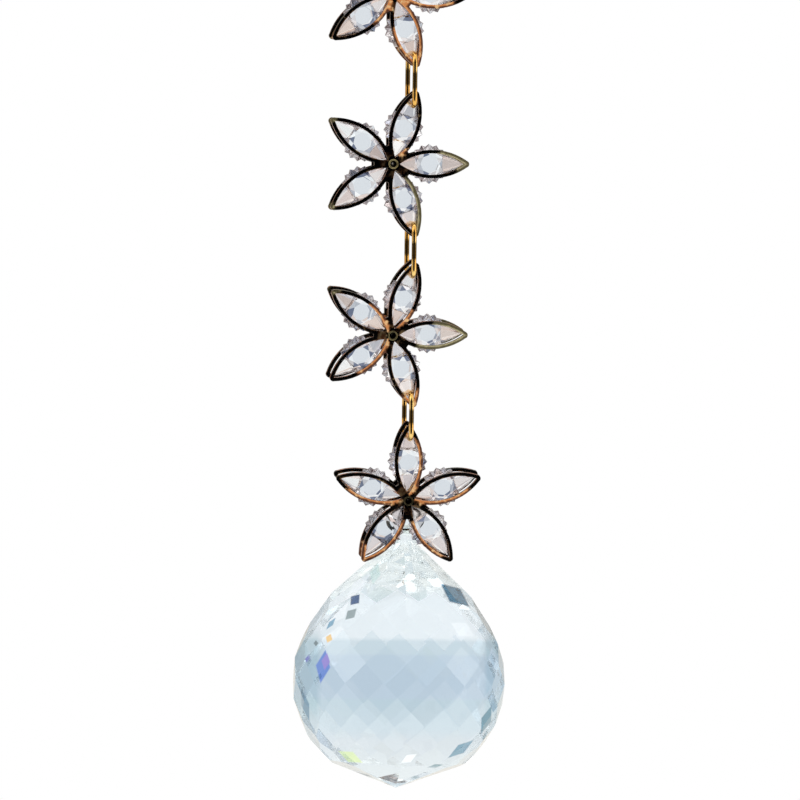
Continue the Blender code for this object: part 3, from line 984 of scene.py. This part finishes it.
def dark_wire_look(colours):
    """The frames' blackened finish on wire, worn to olive here and there."""
    look = Look("blackened_wire", metallic=1.0)
    wear = look.noise(600.0, 3.0)
    colour = look.mix(wear.above(0.52, 0.66), colours.dark, (0.16, 0.13, 0.07))
    look.bump(wear, 0.00001, 0.3)
    return look.set(base_color=colour, roughness=0.24 + wear * 0.2)


class SUNCATCHER_OT_wires(bpy.types.Operator):
    """Build the links, the hanging ring and the ring that carries the ball"""

    bl_idname = "suncatcher.wires"
    bl_label = "Links and Rings"

    def execute(self, context):
        sizes = context.scene.suncatcher_wires
        gold = gold_look(sizes)
        tree = wire_tree()
        wires = [("gold", node, sizes.link_corner, gold, "gold_wire") for node in LINKS]
        wires.append(("gold", "hanging_ring", None, gold, "gold_wire"))
        wires.append(("dark", "ball_ring", None, dark_wire_look(sizes), "frame_metal"))
        for metal, node, corner, look, slot in wires:
            handed_in(wire_piece(f"{metal}_{node}", tree, node, corner, sizes, look), slot, node)
        return {"FINISHED"}


# Crystal ball


# Painted glints where the ball breaks the light, seen from its front: across, up, half length and
# half width, in shares of its radius; then the lean from upright in degrees, and the colour
GLINTS = (
    (-0.574, 0.650, 0.150, 0.075, 40, WHITE),
    (-0.390, 0.905, 0.170, 0.060, 42, WHITE),
    (0.600, 0.500, 0.130, 0.075, -60, WHITE),
    (0.100, -0.720, 0.090, 0.040, 60, WHITE),
    (-0.714, 0.142, 0.165, 0.072, 8, (0.055, 0.12, 0.56)),
    (-0.688, 0.190, 0.085, 0.042, 8, (0.19, 0.11, 0.56)),
    (-0.660, 0.407, 0.046, 0.036, 20, (0.85, 0.34, 0.05)),
    (-0.785, 0.361, 0.030, 0.024, 0, (0.05, 0.08, 0.09)),
    (-0.418, 0.774, 0.070, 0.052, 40, (0.008, 0.020, 0.07)),
    (-0.455, 0.637, 0.078, 0.046, 45, (0.13, 0.17, 0.17)),
    (-0.644, 0.547, 0.075, 0.024, 38, (0.07, 0.20, 0.33)),
    (0.528, 0.828, 0.185, 0.088, -52, (0.006, 0.035, 0.075)),
    (-0.882, -0.222, 0.170, 0.040, -14, (0.05, 0.12, 0.19)),
    (0.832, -0.351, 0.150, 0.052, 20, (0.035, 0.11, 0.16)),
    (0.594, -0.627, 0.155, 0.048, 55, (0.055, 0.14, 0.21)),
    (0.352, -0.790, 0.080, 0.018, 80, (0.09, 0.16, 0.18)),
    (-0.450, -0.710, 0.130, 0.055, -65, (0.62, 0.78, 0.24)),
    (0.900, 0.200, 0.140, 0.060, -10, (0.46, 0.58, 0.70)),
    (-0.231, 1.025, 0.110, 0.055, 12, (0.55, 0.72, 0.66)),
)
BALL_PITCH = radians(8.8)

# Painted refracted light on the ball's front: a band of tints up it and darker flanks across it, by share of
# its radius
PAINTED_BAND = (
    (-1.00, (0.80, 0.81, 0.81)),
    (-0.56, (0.66, 0.68, 0.71)),
    (-0.44, (0.58, 0.67, 0.72)),
    (-0.18, (0.54, 0.66, 0.72)),
    (-0.14, (0.55, 0.64, 0.75)),
    (0.24, (0.55, 0.64, 0.75)),
    (0.27, (0.62, 0.71, 0.77)),
    (0.38, (0.64, 0.73, 0.78)),
    (0.42, WHITE),
    (0.80, WHITE),
    (0.92, (1.00, 0.99, 0.93)),
)
PAINTED_FLANKS = (
    (-0.96, (0.58, 0.72, 0.74)),
    (-0.78, (0.58, 0.72, 0.74)),
    (-0.72, WHITE),
    (0.80, WHITE),
    (0.84, (0.68, 0.80, 0.84)),
)


def tint_facets(ball):
    """Gives every facet a shade of its own, near white."""
    random = Random(7)
    mark = ball.data.attributes.new("tint", "FLOAT_COLOR", "FACE")
    for index in range(len(ball.data.polygons)):
        shade = 0.93 + 0.07 * random.random()
        warmth = 0.015 * random.random()
        mark.data[index].color = (shade + warmth, shade + 0.01, shade + 0.02, 1.0)


def add_glints(look, colour, radius):
    """Paints a band and flanks of refracted light, and each glint, a soft-edged lozenge, on the ball's
    front.
    """
    low = min(corner.z for corner in corners_of("crystal_ball"))
    middle = middle_of("crystal_ball")
    centre = (middle.x, middle.y, low + radius)
    arm = look.node("ShaderNodeVectorMath", {"operation": "SUBTRACT"}, look.places(), centre).outputs[0]

    def along(direction):
        scaled = tuple(share / radius for share in direction)
        dot = look.node("ShaderNodeVectorMath", {"operation": "DOT_PRODUCT"}, arm, scaled)
        return look.out(dot, "Value")

    across = along((1.0, 0.0, 0.0))
    up = along((0.0, sin(BALL_PITCH), cos(BALL_PITCH)))
    front = along((0.0, -cos(BALL_PITCH), sin(BALL_PITCH))).above(0.0, 0.05)
    middle_rows = up.above(-0.45, -0.20) * (1.0 - up.above(0.38, 0.52)) * front
    for share, place, stops in ((front, up, PAINTED_BAND), (middle_rows, across, PAINTED_FLANKS)):
        spread = [((at + 1.0) / 2.0, tint) for at, tint in stops]
        tints = look.ramp(place * 0.5 + 0.5, spread)
        colour = look.multiply(share, colour, tints)
    for side, height, length, width, lean, tint in GLINTS:
        turn = radians(lean)
        aside = across - side
        above = up - height
        lengthwise = aside * (sin(turn) / length) + above * (cos(turn) / length)
        crosswise = aside * (cos(turn) / width) - above * (sin(turn) / width)
        outside = lengthwise.math("ABSOLUTE") + crosswise.math("ABSOLUTE")
        share = (1.0 - outside.above(0.85, 1.10)) * front
        colour = look.mix(share, colour, tint)
    return colour


def ball_look(glass):
    """Clear lead crystal with a breath of blue, whose facets break the light in different colours."""
    look = Look("ball_crystal_glass", roughness=0.0)
    drift = look.noise(90.0, 1.0)
    colour = look.mix(drift.above(0.3, 0.7), glass.clear, [share * 1.015 for share in glass.clear])
    facet = look.node("ShaderNodeAttribute", {"attribute_name": "tint"}).outputs["Color"]
    colour = add_glints(look, look.multiply(1.0, colour, facet), glass.radius)
    return look.set(base_color=colour, transmission_weight=1.0, ior=glass.bend, roughness=glass.softness)


class SUNCATCHER_OT_ball(bpy.types.Operator):
    """Build the faceted crystal ball"""

    bl_idname = "suncatcher.ball"
    bl_label = "Crystal Ball"

    def execute(self, context):
        glass = context.scene.suncatcher_ball
        shape = bmesh.new()
        shape.from_mesh(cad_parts["crystal_ball"].data)
        bmesh.ops.remove_doubles(shape, verts=shape.verts[:], dist=0.000001)
        bmesh.ops.dissolve_limit(
            shape, angle_limit=radians(1.0), verts=shape.verts[:], edges=shape.edges[:], delimit=set()
        )
        piece = finished("faceted_ball", shape, ball_look(glass))
        tint_facets(piece)
        handed_in(piece, "ball_crystal", "crystal_ball")
        return {"FINISHED"}


# Stage


LIGHT_BOUNCES = 32  # light passes many facets in the glass


def add_floor(stage):
    """A pale round floor whose rim curves up softly."""
    shape = bmesh.new()
    low = cad_box[0][2] - stage.floor_drop
    rings = []
    for step in range(1, 25):
        share = step / 24
        height = low + 0.02 * max(0.0, share - 0.8) ** 2 / 0.04
        rings.append([shape.verts.new((x, y, height)) for x, y in circle(stage.floor_radius * share, 64)])
    shape.faces.new(rings[0])
    for first, second in zip(rings, rings[1:]):
        joined_rings(shape, first, second)
    look = Look("pale_floor", roughness=0.6)
    grain = look.noise(40.0, 4.0)
    colour = look.mix(grain, (0.93, 0.97, 1.0), (0.96, 0.99, 1.0))
    floor = finished("pale_floor", shape, look.set(base_color=colour))
    floor.data.shade_smooth()
    if floor.data.polygons[0].normal.z < 0:
        floor.data.flip_normals()


def add_light(name, place, aim, size, power, colour=WHITE):
    data = bpy.data.lights.new(name, "AREA")
    data.shape = "RECTANGLE"
    data.size, data.size_y = size
    data.energy = power
    data.color = colour
    lamp = in_scene(name, data)
    lamp.location = place
    lamp.rotation_euler = (Vector(aim) - Vector(place)).to_track_quat("-Z", "Y").to_euler()


def add_surroundings():
    """White where the camera looks past the object, a dim studio in metal and pale daylight in glass."""
    world = bpy.data.worlds.new("studio")
    bpy.context.scene.world = world
    world.use_nodes = True
    world.node_tree.nodes.clear()
    sky = Tree(world.node_tree)
    split = sky.node("ShaderNodeSeparateXYZ", None, sky.node("ShaderNodeTexCoord").outputs["Generated"])
    ahead = sky.out(split, "Y")
    height = sky.out(split, "Z") * 0.5 + 0.5
    daylight = [
        (0.20, (0.97, 0.98, 1.0)),
        (0.26, (0.93, 0.95, 1.0)),
        (0.31, (0.79, 0.86, 0.90)),
        (0.44, (0.75, 0.83, 0.89)),
        (0.49, (0.79, 0.86, 0.91)),
        (0.52, (0.82, 0.88, 0.92)),
        (0.62, (0.94, 0.98, 1.0)),
        (0.80, (0.96, 0.99, 0.98)),
    ]
    studio = [
        (0.0, (0.90, 0.88, 0.84)),
        (0.43, (0.85, 0.80, 0.72)),
        (0.48, (0.40, 0.34, 0.26)),
        (0.51, (0.10, 0.08, 0.05)),
        (0.54, (0.12, 0.10, 0.07)),
        (0.62, (0.70, 0.67, 0.62)),
        (0.85, WHITE),
    ]
    through = sky.mix(ahead.above(-0.95, -0.85), (0.62, 0.72, 0.80), sky.ramp(height, daylight))
    through = sky.node("ShaderNodeVectorMath", {"operation": "SCALE"}, through, None, None, 1.15).outputs[0]
    mirrored = sky.mix(ahead.above(-0.88, -0.60), (0.010, 0.012, 0.016), sky.ramp(height, studio))
    path = sky.node("ShaderNodeLightPath").outputs
    around = sky.mix(path["Is Transmission Ray"], mirrored, through)
    around = sky.mix(path["Is Diffuse Ray"], around, (0.96, 0.98, 1.0))
    shown = sky.mix(path["Is Camera Ray"], around, WHITE)
    glow = sky.node("ShaderNodeBackground", None, shown)
    sky.node("ShaderNodeOutputWorld", None, glow.outputs[0])


def add_camera(stage):
    data = bpy.data.cameras.new("camera")
    data.sensor_width = 36.0
    data.lens = data.sensor_width * stage.camera_distance / stage.view_width
    data.clip_start = 0.01
    data.clip_end = 10.0
    camera = in_scene("camera", data)
    aim = Vector(stage.aim)
    flat = cos(stage.elevation)
    back = Vector((-sin(stage.azimuth) * flat, -cos(stage.azimuth) * flat, sin(stage.elevation)))
    camera.location = aim + back * stage.camera_distance
    level = (-back).to_track_quat("-Z", "Y")
    camera.rotation_euler = (level.to_matrix() @ Matrix.Rotation(stage.roll, 3, "Z")).to_euler()
    bpy.context.scene.camera = camera


class SUNCATCHER_OT_stage(bpy.types.Operator):
    """Add the floor, the soft lights, the surroundings and the camera"""

    bl_idname = "suncatcher.stage"
    bl_label = "Stage"

    def execute(self, context):
        stage = context.scene.suncatcher_stage
        add_floor(stage)
        add_surroundings()
        middle = (0.0, 0.0, (cad_box[0][2] + cad_box[1][2]) / 2)
        add_light("left_window", (-0.45, -0.10, 0.15), middle, (0.3, 0.4), 0.6)
        add_light("right_window", (0.45, -0.15, -0.05), middle, (0.2, 0.4), 0.35, (1.0, 0.97, 0.93))
        add_light("top_window", (0.0, 0.10, 0.40), middle, (0.3, 0.3), 0.5)
        add_camera(stage)
        context.scene.view_settings.view_transform = "Standard"
        for kind in ("max_bounces", "glossy_bounces", "transmission_bounces"):
            setattr(context.scene.cycles, kind, LIGHT_BOUNCES)
        return {"FINISHED"}


class SUNCATCHER_PT_panel(bpy.types.Panel):
    """The suncatcher's operators in the 3D view's sidebar"""

    bl_idname = "SUNCATCHER_PT_panel"
    bl_label = "Crystal Suncatcher"
    bl_space_type = "VIEW_3D"
    bl_region_type = "UI"
    bl_category = "Suncatcher"

    def draw(self, context):
        for operator in OPERATORS:
            self.layout.operator(operator.bl_idname)


SETTINGS = {
    "suncatcher_frames": FrameSettings,
    "suncatcher_wires": WireSettings,
    "suncatcher_crystals": CrystalSettings,
    "suncatcher_ball": BallSettings,
    "suncatcher_stage": StageSettings,
}
OPERATORS = (
    SUNCATCHER_OT_frames,
    SUNCATCHER_OT_eyelets,
    SUNCATCHER_OT_crystals,
    SUNCATCHER_OT_wires,
    SUNCATCHER_OT_ball,
    SUNCATCHER_OT_stage,
)


def register():
    for name, settings in SETTINGS.items():
        bpy.utils.register_class(settings)
        setattr(bpy.types.Scene, name, bpy.props.PointerProperty(type=settings))
    for shown in OPERATORS + (SUNCATCHER_PT_panel,):
        bpy.utils.register_class(shown)


def unregister():
    for shown in reversed(OPERATORS + (SUNCATCHER_PT_panel,)):
        bpy.utils.unregister_class(shown)
    for name, settings in SETTINGS.items():
        delattr(bpy.types.Scene, name)
        bpy.utils.unregister_class(settings)


def main():
    register()
    for operator in OPERATORS:
        group, action = operator.bl_idname.split(".")
        getattr(getattr(bpy.ops, group), action)()


if __name__ == "__main__":
    main()
